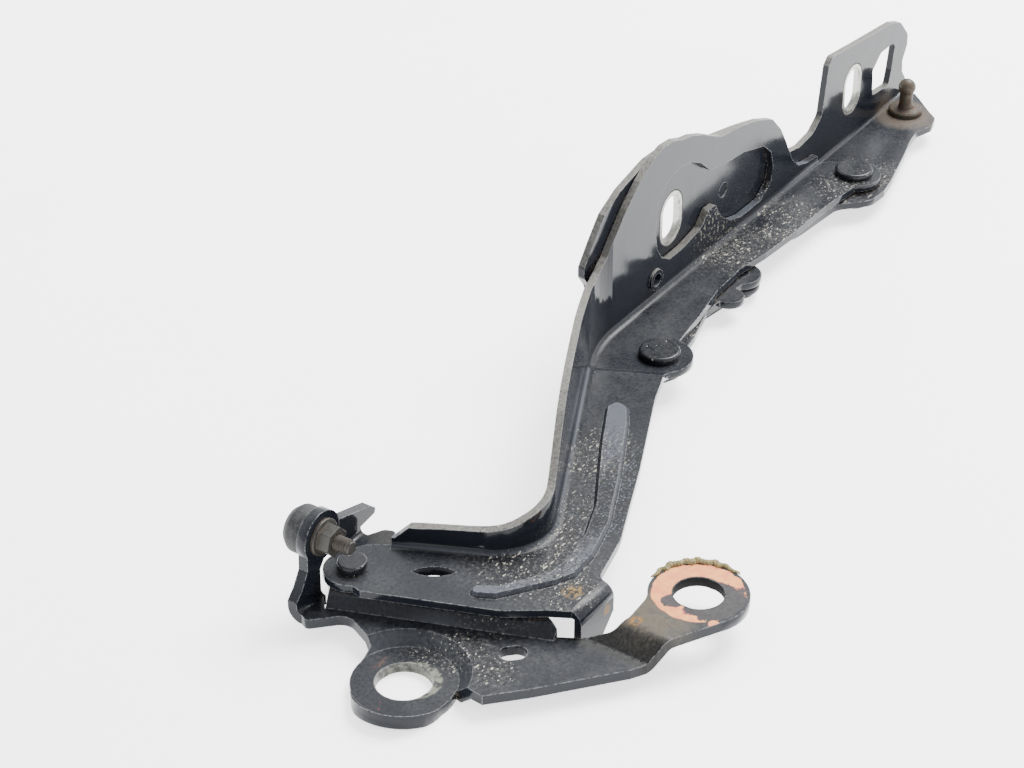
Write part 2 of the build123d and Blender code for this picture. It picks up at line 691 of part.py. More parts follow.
STOP_TIP_Y = 36.5
stop_bolt = turned_y(
    [
        (0, STOP_TIP_Y), (2.4, STOP_TIP_Y), (2.95, STOP_TIP_Y + 0.7), (2.95, STOP_EAR_OUT),
        (6.5, STOP_EAR_OUT), (6.5, STOP_EAR_OUT + 3), (0, STOP_EAR_OUT + 3),
    ]
)
stop_buffer = turned_y(
    [
        (6.5 + FIT, STOP_EAR_OUT), (9, STOP_EAR_OUT), (9, STOP_EAR_OUT + 5.5),
        (7, STOP_EAR_OUT + 8), (4, STOP_EAR_OUT + 9), (0, STOP_EAR_OUT + 9),
        (0, STOP_EAR_OUT + 3), (6.5 + FIT, STOP_EAR_OUT + 3),
    ]
)
with BuildPart() as stop_nut:
    with BuildSketch(Plane.XZ.offset(-STOP_EAR_Y)):
        with Locations(STOP_XZ):
            Circle(7)
            Circle(2.95 + FIT, mode=Mode.SUBTRACT)
    extrude(amount=1.4)
    with BuildSketch(Plane.XZ.offset(-STOP_EAR_Y + 1.4)):
        with Locations(STOP_XZ):
            RegularPolygon(5, 6, major_radius=False, rotation=12)
            Circle(2.95 + FIT, mode=Mode.SUBTRACT)
    extrude(amount=5)

PIECES = {
    "body_bracket": body_bracket, "hinge_arm": hinge_arm,
    "bonnet_bracket": bonnet_bracket, "main_pivot_pin": main_pivot_pin,
    "main_pivot_collar": main_pivot_collar, "main_pivot_washer": main_pivot_washer,
    "main_pivot_bush": main_pivot_bush, "deploy_pivot_rivet": deploy_pivot_rivet,
    "deploy_pivot_bush": deploy_pivot_bush, "deploy_pivot_washer": deploy_pivot_washer,
    "deploy_lower_washer": deploy_lower_washer,
    "gas_strut_ball_stud": gas_strut_ball_stud,
    "limiter_lower_link": limiter_lower_link, "limiter_upper_link": limiter_upper_link,
    "limiter_arm_rivet": limiter_arm_rivet, "limiter_arm_washer": limiter_arm_washer,
    "limiter_joint_rivet": limiter_joint_rivet,
    "limiter_joint_washer": limiter_joint_washer,
    "limiter_bracket_rivet": limiter_bracket_rivet,
    "limiter_bracket_washer": limiter_bracket_washer, "stop_bolt": stop_bolt,
    "stop_buffer": stop_buffer, "stop_nut": stop_nut,
}
for label, piece in PIECES.items():
    piece.part.label = label
    export_step(piece.part, "parts/" + label + ".step")
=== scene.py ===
import json
import math
from functools import partial

import bmesh
import bpy
import numpy as np
from bpy.props import FloatProperty, StringProperty
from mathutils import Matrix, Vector

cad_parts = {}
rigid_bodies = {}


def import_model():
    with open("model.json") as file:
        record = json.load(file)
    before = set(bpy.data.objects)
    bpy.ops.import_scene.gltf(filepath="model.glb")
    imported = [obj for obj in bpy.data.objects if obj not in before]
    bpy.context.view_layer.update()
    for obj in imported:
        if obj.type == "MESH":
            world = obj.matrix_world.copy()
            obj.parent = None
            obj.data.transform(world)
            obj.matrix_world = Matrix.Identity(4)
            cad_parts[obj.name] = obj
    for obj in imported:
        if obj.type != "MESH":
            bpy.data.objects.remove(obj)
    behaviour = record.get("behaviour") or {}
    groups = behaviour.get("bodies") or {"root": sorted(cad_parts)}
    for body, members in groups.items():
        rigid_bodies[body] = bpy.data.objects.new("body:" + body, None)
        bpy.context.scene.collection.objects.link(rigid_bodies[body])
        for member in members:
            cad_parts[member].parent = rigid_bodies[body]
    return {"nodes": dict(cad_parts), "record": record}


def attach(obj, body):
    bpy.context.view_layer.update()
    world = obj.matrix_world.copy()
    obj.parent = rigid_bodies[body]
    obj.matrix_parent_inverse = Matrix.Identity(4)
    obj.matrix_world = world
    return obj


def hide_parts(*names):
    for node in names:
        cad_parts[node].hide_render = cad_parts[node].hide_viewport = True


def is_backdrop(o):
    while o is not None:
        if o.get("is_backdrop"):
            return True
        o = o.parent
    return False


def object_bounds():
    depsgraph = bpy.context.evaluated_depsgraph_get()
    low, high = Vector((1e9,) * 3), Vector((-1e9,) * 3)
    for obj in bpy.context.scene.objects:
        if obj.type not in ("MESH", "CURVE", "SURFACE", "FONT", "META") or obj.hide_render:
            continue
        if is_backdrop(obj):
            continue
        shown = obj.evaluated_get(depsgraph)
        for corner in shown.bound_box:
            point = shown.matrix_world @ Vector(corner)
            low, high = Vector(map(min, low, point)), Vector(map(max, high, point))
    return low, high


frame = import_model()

bl_info = {
    "name": "Bonnet Hinge Dresser",
    "version": (1, 0, 0),
    "blender": (4, 5, 0),
    "location": "View3D > Sidebar > Bonnet Hinge",
    "description": "Gives the bonnet hinge its worn black paint, rivets, stop screw and studio stage",
    "category": "Object",
}

MM = 0.001

# The view of the hinge on its table: the camera's place in metres, the way it looks and its lens
CAMERA_PLACE = Vector((-0.5715, -0.4298, 0.5882))
CAMERA_LOOK = Vector((0.6953, 0.4690, -0.5446))
LENS_MM, SENSOR_MM = 94.9, 36
CAMERA_NEAR = 0.01
# The way to the unlit part of the ceiling, above and behind the camera, and the cosines of the angles
# from it at which the dark begins and is full
DARK_CEILING = Vector((-0.45, -0.3, 0.84))
DARK_BEGINS, DARK_FULL = 0.45, 0.9
# The lamp's place, the point it shines at and the side of its square, in metres
LAMP_PLACE = Vector((1.1, -0.1, 1.3))
LAMP_AIM = Vector((0.22, 0.0, 0.0))
LAMP_SIDE = 0.9

# Places on the hinge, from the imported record, in mm
MOUNTS = {mount["name"]: Vector(mount["pos_m"]) / MM for mount in frame["record"]["mounts"]}
FRONT_HOLE = MOUNTS["front_body_hole"]
SLOTS = (MOUNTS["bonnet_slot_rear"], MOUNTS["bonnet_slot_front"])

TURNED = (
    "main_pivot_pin", "main_pivot_collar", "main_pivot_washer", "deploy_pivot_rivet",
    "deploy_pivot_washer", "deploy_lower_washer", "limiter_arm_rivet", "limiter_arm_washer",
    "limiter_joint_rivet", "limiter_joint_washer", "limiter_bracket_rivet", "limiter_bracket_washer",
)
BUSHES = ("main_pivot_bush", "deploy_pivot_bush")

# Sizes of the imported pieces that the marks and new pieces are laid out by, in mm
REAR_EAR_TOP = 4.0
REAR_HOLE_R = 10.0
FRONT_EAR_TOP = 15.0
FRONT_EAR_R = 18.0
FRONT_HOLE_R = 9.2
SLOT_WIDTH, SLOT_LENGTH = 13.5, 20.5
SLOT_RING = 1.9
RIB_LOW, RIB_HIGH = 18.3, 22
ARM_EDGE_LOW, BONNET_EDGE_LOW = 23, 20

# Radii on the edges of the small pieces, and the limits by which facets are joined and edges rounded
RIVET_EDGE, BUSH_EDGE, BUFFER_EDGE = 0.3 * MM, 0.2 * MM, 0.6 * MM
JOIN_GAP = 0.002 * MM
FLAT_ANGLE, SHARP_ANGLE = math.radians(0.3), math.radians(35)

# The stop screw: its axis, radii, stations along Y in mm, and the points round it and along a pitch
SCREW_X, SCREW_Z = 21.0, 32.0
SCREW_R, SCREW_HEAD_R = 2.95, 6.5
SCREW_TIP, THREAD_END, EAR_FACE, HEAD_END = 36.5, 49.5, 53.5, 56.5
TIP_TAPER, TIP_FALL = 0.9, 0.75
THREAD_DEPTH_IN_PITCHES = 0.62
SCREW_SIDES, PITCH_STEPS = 48, 12

# The sealant bead: its radius in mm, first angle and sweep in degrees, rings and points round a ring
BEAD_R = 1.5
BEAD_START, BEAD_SWEEP = -22, 118
BEAD_RINGS, BEAD_SIDES = 260, 20

# Grain of the paint's patterns, in mm: clouds of dust, grit, orange peel and sags, with the height of
# the last two
CLOUD_GRAIN, GRIT_GRAIN, PEEL_GRAIN, SAG_GRAIN = 26, 1.3, 2.2, 13
PEEL_HEIGHT, SAG_HEIGHT = 0.012, 0.08
# Grain of the spots that break up the marks, of the sheared edges' wear and painted highlight, and of
# glints, in mm
BODY_SPOTS, ARM_SPOTS, BONNET_SPOTS, EDGE_WEAR_AND_HIGHLIGHT_GRAIN, GLINT_GRAIN = 3.5, 1.6, 2.5, 1.2, 0.7
# Size of the cells that hold a speck, a fibre, a scratch, a fleck on a rivet and a red scratch, in mm
SPECK_CELL, FIBRE_CELL, SCRATCH_CELL, RIVET_FLECK_CELL, RED_CELL = 1.1, 1.5, 4.0, 2.4, 2.0
# How deep in a corner dirt packs on paint and on plate, and how wide an edge gets its wear and painted
# highlight
PAINT_CORNER, PLATE_CORNER, WORN_AND_HIGHLIT_EDGE = 5 * MM, 2 * MM, 0.6 * MM
# The primer ring's radius, and where a hole's wall ends and its film is gone, beyond its radius, in mm
PRIMER_R, PRIMER_END = 16.4, 16.8
WALL_END, WALL_GONE = 0.2, 0.5

# Where dust and flecks gather on each pressing, in mm: a place and how far round it
BODY_DUST = (((22, -10, 8.5), 15), ((14, 3, 8.5), 12), ((17, -25, 8.5), 12), ((45, -8, 8.5), 20))
ARM_DUST = (((66, -10, 18), 30), ((92, -2, 18), 26), ((58, -28, 18), 18), ((132, 8, 18), 26),
            ((330, 50, 14), 38), ((297, 50, 14), 26), ((375, 33, 14), 20))
BONNET_DUST = (((400, 32, 10), 20), ((370, 40, 10), 30))
LINK_DUST = (((240, 32, 8), 12),)

# Places of single marks, in mm. On the body bracket:
NECK_STAIN = (66, -58, 14)
# The slope below the front ear's neck, where near-black painted shade is laid
PAINTED_SHADE_SLOPE = (53, -60, 9)
NECK_RUST = (60.2, -55.1, 15)
PRIMER_PATCH = (73.8, -78.2, FRONT_EAR_TOP)
PRIMER_GAP = (76.6, -59.6, FRONT_EAR_TOP)
REAR_JOGGLE = (4, -4, 6)
WORN_RIM = (2.2, -2.4, REAR_EAR_TOP)
REAR_RUST = (3.6, 12.6, 6.5)
RED_SCRATCHES = (-16.8, 1.0, REAR_EAR_TOP)
# The way on the front ear that its primer is torn toward
TORN_WAY = (-0.19, -0.98, 0.0)
# On the arm:
GLINT_STRIP = (120, -14, 18)
TAN_CRUMBS = (59, -30, 18)
STOP_STAIN = (65.5, -40, 10)
WINDOW_EDGE = (300, 56, 28)
# On the bonnet bracket:
STUD_STAIN = (459, 45, 10)

# Shader nodes by short names: Blender's type, its settings, the sockets that values fill in order and
# the output that is used
KINDS = {
    "place": ("ShaderNodeTexCoord", {}, (), "Object"),
    "direction": ("ShaderNodeTexCoord", {}, (), "Generated"),
    "normal": ("ShaderNodeNewGeometry", {}, (), "Normal"),
    "mapping": ("ShaderNodeMapping", {}, ("Vector", "Scale", "Rotation"), 0),
    "noise": ("ShaderNodeTexNoise", {}, ("Vector", "Scale", "Detail", "Roughness"), 0),
    "colour noise": ("ShaderNodeTexNoise", {}, ("Vector", "Scale", "Detail"), "Color"),
    "cells": ("ShaderNodeTexVoronoi", {}, ("Vector", "Scale"), "Distance"),
    "open air": ("ShaderNodeAmbientOcclusion", {"samples": 6}, ("Distance",), "AO"),
    "rounded normal": ("ShaderNodeBevel", {"samples": 4}, ("Radius",), 0),
    "red": ("ShaderNodeSeparateColor", {}, (0,), 0),
    "height": ("ShaderNodeSeparateXYZ", {}, (0,), 2),
    "ease": ("ShaderNodeMapRange", {"interpolation_type": "SMOOTHSTEP"}, (0, 1, 2, 3, 4), 0),
    "mix": ("ShaderNodeMix", {}, (0, 2, 3), 0),
    "mix colours": ("ShaderNodeMix", {"data_type": "RGBA"}, (0, 6, 7), 2),
    "subtract": ("ShaderNodeMath", {"operation": "SUBTRACT"}, (0, 1), 0),
    "multiply": ("ShaderNodeMath", {"operation": "MULTIPLY"}, (0, 1), 0),
    "multiply to 1": ("ShaderNodeMath", {"operation": "MULTIPLY", "use_clamp": True}, (0, 1), 0),
    "multiply add": ("ShaderNodeMath", {"operation": "MULTIPLY_ADD"}, (0, 1, 2), 0),
    "maximum": ("ShaderNodeMath", {"operation": "MAXIMUM"}, (0, 1), 0),
    "vector subtract": ("ShaderNodeVectorMath", {"operation": "SUBTRACT"}, (0, 1), 0),
    "vector multiply": ("ShaderNodeVectorMath", {"operation": "MULTIPLY"}, (0, 1), 0),
    "vector multiply add": ("ShaderNodeVectorMath", {"operation": "MULTIPLY_ADD"}, (0, 1, 2), 0),
    "vector maximum": ("ShaderNodeVectorMath", {"operation": "MAXIMUM"}, (0, 1), 0),
    "vector absolute": ("ShaderNodeVectorMath", {"operation": "ABSOLUTE"}, (0,), 0),
    "scale": ("ShaderNodeVectorMath", {"operation": "SCALE"}, (0, "Scale"), 0),
    "length": ("ShaderNodeVectorMath", {"operation": "LENGTH"}, (0,), "Value"),
    "dot": ("ShaderNodeVectorMath", {"operation": "DOT_PRODUCT"}, (0, 1), "Value"),
    "bump": ("ShaderNodeBump", {}, ("Strength", "Distance", "Height"), 0),
    "surface": ("ShaderNodeBsdfPrincipled", {},
                ("Base Color", "Roughness", "Metallic", "Normal", "IOR", "Specular IOR Level",
                 "Emission Color", "Emission Strength"), 0),
    "background": ("ShaderNodeBackground", {}, ("Color", "Strength"), 0),
    "material output": ("ShaderNodeOutputMaterial", {}, ("Surface",), None),
    "world output": ("ShaderNodeOutputWorld", {}, ("Surface",), None),
}


class FinishSettings(bpy.types.PropertyGroup):
    """Colours of the hinge's finishes, as sRGB hex, and how dusty it is."""
    paint: StringProperty(name="Paint", description="Black electrocoat", default="#14161a")
    primer: StringProperty(name="Primer", default="#eaa05c",
                           description="Primer left round the front body hole")
    dust: StringProperty(name="Dust", description="Pale road dust film", default="#8b8a86")
    fleck: StringProperty(name="Flecks", description="Dried flecks", default="#a8a499")
    fibre: StringProperty(name="Fibres", description="Curled plant fibres", default="#b9b4a6")
    dirt: StringProperty(name="Dirt", description="Brown dirt packed in corners", default="#4d4132")
    steel: StringProperty(name="Steel", description="Bare steel round the slots", default="#a3a39d")
    sealant: StringProperty(name="Sealant", description="Old body sealant", default="#9a8e62")
    rust: StringProperty(name="Rust", description="Fresh rust", default="#86602c")
    dust_cover: FloatProperty(name="Dust cover", default=0.11, min=0, max=1, subtype="FACTOR",
                              description="Share of the paint that the dust film hides")


class SizeSettings(bpy.types.PropertyGroup):
    """Sizes of the rounded edges and of the screw made here."""
    edge_radius: FloatProperty(name="Edge radius", description="Radius on the sheared sheet edges",
                               default=0.35 * MM, min=0, unit="LENGTH", precision=5)
    thread_pitch: FloatProperty(name="Thread pitch", description="Pitch of the stop screw's thread",
                                default=1.0 * MM, min=0.1 * MM, unit="LENGTH", precision=5)


class StageSettings(bpy.types.PropertyGroup):
    """The table and the light round the hinge."""
    table: FloatProperty(name="Table", description="Side of the pale table", default=6, unit="LENGTH")
    sky: FloatProperty(name="Sky", description="Strength of the light all round", default=2.2, min=0)
    ceiling: FloatProperty(name="Ceiling", description="Strength of the unlit ceiling", default=0.8,
                           min=0)
    lamp: FloatProperty(name="Lamp", description="Power of the soft lamp in watts", default=70, min=0)
    glow: FloatProperty(name="Table glow", description="Light of the table's own, as on a light table",
                        default=1.8, min=0)


def linear(hex_colour):
    """sRGB hex to linear RGBA: each channel c becomes ((c + 0.055) / 1.055) to the power 2.4, or
    c / 12.92 where it is very dark."""
    c = np.array([int(hex_colour[i:i + 2], 16) for i in (1, 3, 5)]) / 255
    c = np.where(c > 0.04045, ((c + 0.055) / 1.055) ** 2.4, c / 12.92)
    return (*c.tolist(), 1.0)


def node(tree, kind, *values):
    """Adds one node of a kind in KINDS. Each value is a number, a tuple or another node's output. Returns
    the output that the kind names."""
    blender_type, settings, sockets, output = KINDS[kind]
    made = tree.nodes.new(blender_type)
    for key, value in settings.items():
        setattr(made, key, value)
    for socket, value in zip(sockets, values):
        if isinstance(value, bpy.types.NodeSocket):
            tree.links.new(value, made.inputs[socket])
        else:
            made.inputs[socket].default_value = value
    return None if output is None else made.outputs[output]


def new_material(name):
    """An empty node material, with its node adder and the place in millimetres as a vector."""
    material = bpy.data.materials.new(name)
    material.use_nodes = True
    material.node_tree.nodes.clear()
    add = partial(node, material.node_tree)
    return material, add, add("scale", add("place"), 1 / MM)


def lay(add, film, mask, colour, rough, height=0.0, metal=0.0):
    """Lays a film of another colour, as sRGB hex or a node's output, roughness, metallic share and height
    in mm over a surface where the mask is 1."""
    colour = linear(colour) if isinstance(colour, str) else colour
    return {
        "colour": add("mix colours", mask, film["colour"], colour),
        "rough": add("mix", mask, film["rough"], rough),
        "metal": add("mix", mask, film["metal"], metal),
        "height": add("multiply add", mask, height, film["height"]),
    }


def grained(add, place, grain, colours, rough, height, metal=0.0, spread=None):
    """A film with one grain, which is noise of a size in mm, a detail and a roughness. It mixes two sRGB
    hex colours, over a spread of the noise if one is given, and two roughnesses, and raises the surface
    by up to a height in mm."""
    size, *texture = grain
    noise = add("noise", place, 1 / size, *texture)
    share = add("ease", noise, *spread) if spread else noise
    return {
        "colour": add("mix colours", share, *map(linear, colours)),
        "rough": add("ease", noise, 0.3, 0.7, *rough),
        "metal": metal,
        "height": add("multiply", noise, height),
    }


def finish_material(add, film, ior=1.5, specular=0.5, glow=0.0):
    """Closes a material: the film's colour, roughness and metallic share on a shader whose bump is its
    height in mm, with the shader's own IOR, specular level and glow."""
    bump = add("bump", 1.0, MM, film["height"])
    white = (1, 1, 1, 1)
    add("material output", add("surface", film["colour"], film["rough"], film["metal"], bump, ior,
                               specular, white, glow))


def times(add, *masks):
    """Masks multiplied together."""
    product = masks[0]
    for mask in masks[1:]:
        product = add("multiply", product, mask)
    return product


def near(add, place, centre, inner, outer, axes=(1, 1, 1)):
    """1 within the inner distance in mm of a point, easing to 0 at the outer one. An axis at 0 isn't
    measured, and one at more than 1 shortens the zone along it."""
    scaled = add("vector multiply", add("vector subtract", place, centre), axes)
    return add("ease", add("length", scaled), inner, outer, 1.0, 0.0)


def ragged(add, place, reach, grain):
    """The place shifted by noise of a grain in mm, so that what is measured from it has a torn
    outline."""
    shift = add("vector subtract", add("colour noise", place, 1 / grain, 4.0), (0.5, 0.5, 0.5))
    return add("vector multiply add", shift, (2 * reach,) * 3, place)


def flecks(add, place, cell, size, stretch=(1, 1, 1), turn=0.0):
    """Mask of scattered specks: in cells of a size in mm, what is nearer the cell's middle than a limit
    that differs from cell to cell. Stretched cells turned about Z give fibres and scratches."""
    scale = tuple(share / cell for share in stretch)
    cells = add("cells", add("mapping", place, scale, (0, 0, turn)), 1.0)
    limit = add("multiply", add("red", cells.node.outputs["Color"]), size)
    edge_hardness = 25.0
    return add("multiply to 1", add("subtract", limit, cells), edge_hardness)


def sheared(add, place, film, facing_up, start):
    """Lays a light beige-grey on what faces up above a height in mm, the top edges of the walls: partly
    bare sheared steel, partly a painted highlight where the light falls on them.
    """
    worn = add("noise", place, 1 / EDGE_WEAR_AND_HIGHLIGHT_GRAIN, 4.0, 0.65)
    edge = times(add, add("ease", add("height", place), start, start + 1), facing_up,
                 add("ease", worn, 0.3, 0.6, 0.4, 1.0))
    return lay(add, film, edge, "#6b6963", 0.55, 0.02)


def black_paint(settings, name, dusty, marks=None):
    """Electrocoated pressed steel: a thin black dip coat with a slight orange peel and sags, so that what
    it mirrors has a wavy edge. It is glossy on walls and satin on what faces up. A thin dust film lies on
    the flats, flecks and curled fibres gather in the dusty places, each a point and its reach in mm, brown
    dirt fills corners, and the edges are painted a lighter grey, partly wear from rubbing and partly a
    painted highlight. Marks are the films that only this pressing has."""
    material, add, place = new_material(name)
    clouds = add("noise", place, 1 / CLOUD_GRAIN, 5.0, 0.6)
    fine = add("noise", place, 1 / GRIT_GRAIN, 5.0, 0.65)
    peel = add("noise", place, 1 / PEEL_GRAIN, 2.0)
    sag = add("noise", place, 1 / SAG_GRAIN, 1.0)
    facing_up = add("ease", add("height", add("normal")), 0.3, 0.95)
    wall_rough = add("ease", clouds, 0.35, 0.7, 0.08, 0.16)
    film = {
        "colour": add("mix colours", clouds, linear(settings.paint), linear("#1a1d24")),
        "rough": add("multiply add", facing_up, 0.16, wall_rough),
        "metal": 0.0,
        "height": add("multiply add", peel, PEEL_HEIGHT, add("multiply", sag, SAG_HEIGHT)),
    }
    if marks:
        film = marks(add, place, film, settings, facing_up)
    # The dust film on the flats
    dust = times(add, facing_up, add("ease", clouds, 0.35, 0.65, 0.3, 1.0), add("ease", fine, 0.3, 0.7),
                 settings.dust_cover)
    film = lay(add, film, dust, settings.dust, 0.6)
    # A black and grey crust in the dusty places
    heaps = 0.0
    for centre, reach in dusty:
        heaps = add("maximum", heaps, near(add, place, centre, 0.3 * reach, reach))
    crust = times(add, heaps, facing_up, add("ease", clouds, 0.3, 0.55))
    pits = times(add, crust, add("ease", fine, 0.44, 0.5, 0.85, 0.0))
    film = lay(add, film, pits, "#0b0b0c", 0.45, -0.02)
    crumbs = times(add, crust, add("ease", fine, 0.54, 0.62))
    film = lay(add, film, crumbs, "#4d4c49", 0.8, 0.03)
    # Brown dirt in the corners
    packed = times(add, add("ease", add("open air", PAINT_CORNER), 0.6, 0.3), add("ease", fine, 0.45, 0.6),
                   add("ease", clouds, 0.4, 0.6))
    film = lay(add, film, packed, settings.dirt, 0.9, 0.03)
    # Specks all over the flats, larger in the dusty places, and fibres two ways in these alone
    curled = ragged(add, place, 1.2, 3.5)
    speck_size = add("ease", times(add, heaps, facing_up), 0.0, 1.0, 0.06, 0.3)
    specks = times(add, flecks(add, curled, SPECK_CELL, speck_size), add("ease", clouds, 0.35, 0.5))
    film = lay(add, film, specks, settings.fleck, 0.8, 0.03)
    for turn in (0.5, 2.1):
        fibres = times(add, flecks(add, curled, FIBRE_CELL, 0.24, (0.3, 1.0, 1), turn), crust)
        film = lay(add, film, fibres, settings.fibre, 0.8, 0.03)
    # Faint long scratches, and the rounded edges painted a lighter grey: partly wear from rubbing, partly
    # a painted highlight
    scratches = flecks(add, curled, SCRATCH_CELL, 0.06, (0.15, 3.0, 1), 1.1)
    film = lay(add, film, times(add, scratches, 0.6), "#5d6064", 0.5, -0.01)
    flush = add("dot", add("rounded normal", WORN_AND_HIGHLIT_EDGE), add("normal"))
    edge_wear_and_highlight = times(add, add("ease", flush, 0.99, 0.93), add("ease", fine, 0.35, 0.6))
    film = lay(add, film, edge_wear_and_highlight, "#77787a", 0.4)
    finish_material(add, film, ior=1.38, specular=0.35)
    return material


def body_marks(add, place, film, settings, facing_up):
    """Marks of the body bracket: paint worn off round the rear body hole, torn salmon primer round the
    front one, an olive stain on its neck and painted shade, near-black and streaked, on the slope below, a
    dull near-black film on the front hole's wall that is painted shade, and rust and red scratches on the
    rear ear."""
    torn = ragged(add, place, 1.1, 3.0)
    spots = add("noise", place, 1 / BODY_SPOTS, 5.0, 0.65)
    front = (FRONT_HOLE.x, FRONT_HOLE.y, FRONT_EAR_TOP)
    rear = (0, 0, REAR_EAR_TOP)
    # The neck of the front ear, and painted shade on its slope
    neck = times(add, near(add, torn, NECK_STAIN, 9, 19), add("ease", spots, 0.3, 0.6, 0.45, 1.0))
    film = lay(add, film, neck, "#4a4234", 0.6, 0.01)
    streaks = add("noise", add("mapping", place, (0.12, 1.1, 0.12)), 1.0, 3.0)
    # Painted shade: the slope is painted near-black, streaked along Y
    slope = times(add, near(add, torn, PAINTED_SHADE_SLOPE, 5, 9, (1, 0, 1)),
                  add("ease", streaks, 0.35, 0.6, 0.7, 1.0))
    film = lay(add, film, slope, "#0d0c0a", 0.5)
    dot = times(add, near(add, torn, NECK_RUST, 1.0, 3.4), add("ease", spots, 0.42, 0.52))
    film = lay(add, film, dot, settings.rust, 0.9, 0.05)
    # The primer ring, torn away from the hole and toward the ear's free side. How bare a place is grows
    # with the way toward that side and falls with the distance from the hole.
    disc = times(add, near(add, torn, front, PRIMER_R, PRIMER_END), facing_up)
    offset = add("vector subtract", place, front)
    bare = add("multiply add", add("length", offset), -1.6, add("dot", offset, TORN_WAY))
    bare = add("multiply add", spots, 20.0, bare)
    film = lay(add, film, disc, "#262325", 0.5)
    fringe = times(add, disc, add("ease", bare, -3.2, -4.2), add("ease", spots, 0.45, 0.55))
    film = lay(add, film, fringe, "#8c4a4c", 0.7)
    tint = add("mix colours", add("ease", spots, 0.35, 0.6), linear(settings.primer), linear("#de8458"))
    primed = times(add, disc, add("ease", bare, -5.4, -4.6, 1.0, 0.0))
    film = lay(add, film, primed, tint, 0.65, 0.04)
    patch = near(add, torn, PRIMER_PATCH, 1.6, 2.2, (1, 1, 0))
    film = lay(add, film, times(add, patch, facing_up), tint, 0.65, 0.04)
    gap = near(add, ragged(add, place, 3.0, 4.0), PRIMER_GAP, 3.4, 3.9, (1, 1, 0))
    film = lay(add, film, times(add, gap, facing_up), "#2f282b", 0.5)
    # The joggle round the rear ear, wiped to a dusty grey
    leaning = times(add, add("ease", add("height", add("normal")), 0.3, 0.5),
                    add("subtract", 1.0, facing_up))
    film = lay(add, film, times(add, near(add, place, REAR_JOGGLE, 22, 30), leaning), "#4b4e53", 0.6)
    # A dull near-black film on the wall of the front hole, painted shade in the hole; bare steel on the
    # rear one's wall and its worn rim
    front_wall_shade, rear_wall = (near(add, place, hole, radius + WALL_END, radius + WALL_GONE, (1, 1, 0))
                             for hole, radius in ((front, FRONT_HOLE_R), (rear, REAR_HOLE_R)))
    film = lay(add, film, front_wall_shade, "#141415", 0.85)
    bare_wall = times(add, rear_wall, add("ease", spots, 0.4, 0.6, 0.2, 0.8))
    film = lay(add, film, bare_wall, "#77776f", 0.45, metal=0.5)
    rim = times(add, near(add, torn, WORN_RIM, 9.5, 10.5), add("ease", spots, 0.38, 0.55), facing_up,
                0.8)
    film = lay(add, film, rim, "#7d7f70", 0.6)
    # Rust and dirt in the rear ear's neck, red scratches near its edge
    rust = times(add, near(add, torn, REAR_RUST, 0.5, 3.5, (0.5, 1.6, 1)),
                 add("ease", spots, 0.42, 0.54))
    film = lay(add, film, rust, "#6e4636", 0.8, 0.03)
    red = times(add, near(add, place, RED_SCRATCHES, 2.5, 4.5),
                flecks(add, place, RED_CELL, 0.16, (0.5, 2.4, 1), 0.4))
    return lay(add, film, red, "#a0343a", 0.6)


def arm_marks(add, place, film, settings, facing_up):
    """Marks of the arm: a painted highlight of lighter blue-grey satin on the rib's top, a glinting strip
    beside it, tan crumbs of dirt and a brown stain by the closed stop, and torn paint along the window.
    The walls' top edges get a light beige-grey, partly bare sheared steel and partly a painted highlight."""
    spots = add("noise", place, 1 / ARM_SPOTS, 4.0)
    height = add("height", place)
    # Painted highlight: the rib's flat top is painted a lighter blue-grey where the light falls on it
    rib = times(add, add("ease", height, RIB_LOW, RIB_LOW + 0.3),
                add("ease", height, RIB_HIGH, RIB_HIGH - 1), facing_up)
    film = lay(add, film, rib, "#44474f", 0.42)
    strip = times(add, near(add, place, GLINT_STRIP, 14, 26, (0.45, 1.5, 1)), facing_up)
    glints = add("ease", add("noise", place, 1 / GLINT_GRAIN, 3.0), 0.55, 0.7)
    film = lay(add, film, strip, add("mix colours", glints, linear("#0a0b0f"), linear("#5c6370")), 0.3,
               0.02)
    crumbs = times(add, near(add, place, TAN_CRUMBS, 1.5, 5.5), add("ease", spots, 0.48, 0.54))
    film = lay(add, film, crumbs, "#8b6f3a", 0.9, 0.15)
    stain = near(add, ragged(add, place, 1.0, 3.0), STOP_STAIN, 1.0, 2.6)
    film = lay(add, film, stain, "#7f6a50", 0.8, 0.02)
    window = times(add, near(add, place, WINDOW_EDGE, 12, 26), add("ease", spots, 0.55, 0.62), 0.6)
    film = lay(add, film, window, "#6e6a5f", 0.7, 0.02)
    # Light beige-grey on the walls' top edges: partly bare sheared steel, partly a painted highlight
    return sheared(add, place, film, facing_up, ARM_EDGE_LOW)


def slot_distance(add, place, slot):
    """Distance in mm of a place from the straight middle line of a bonnet slot, seen along Y: past the
    half straight length in Z, the rest counts with the offset in X."""
    half_line = (0, 0, (SLOT_LENGTH - SLOT_WIDTH) / 2)
    size = add("vector absolute", add("vector subtract", place, tuple(slot)))
    outside = add("vector maximum", add("vector subtract", size, half_line), (0, 0, 0))
    return add("length", add("vector multiply", outside, (1, 0, 1)))


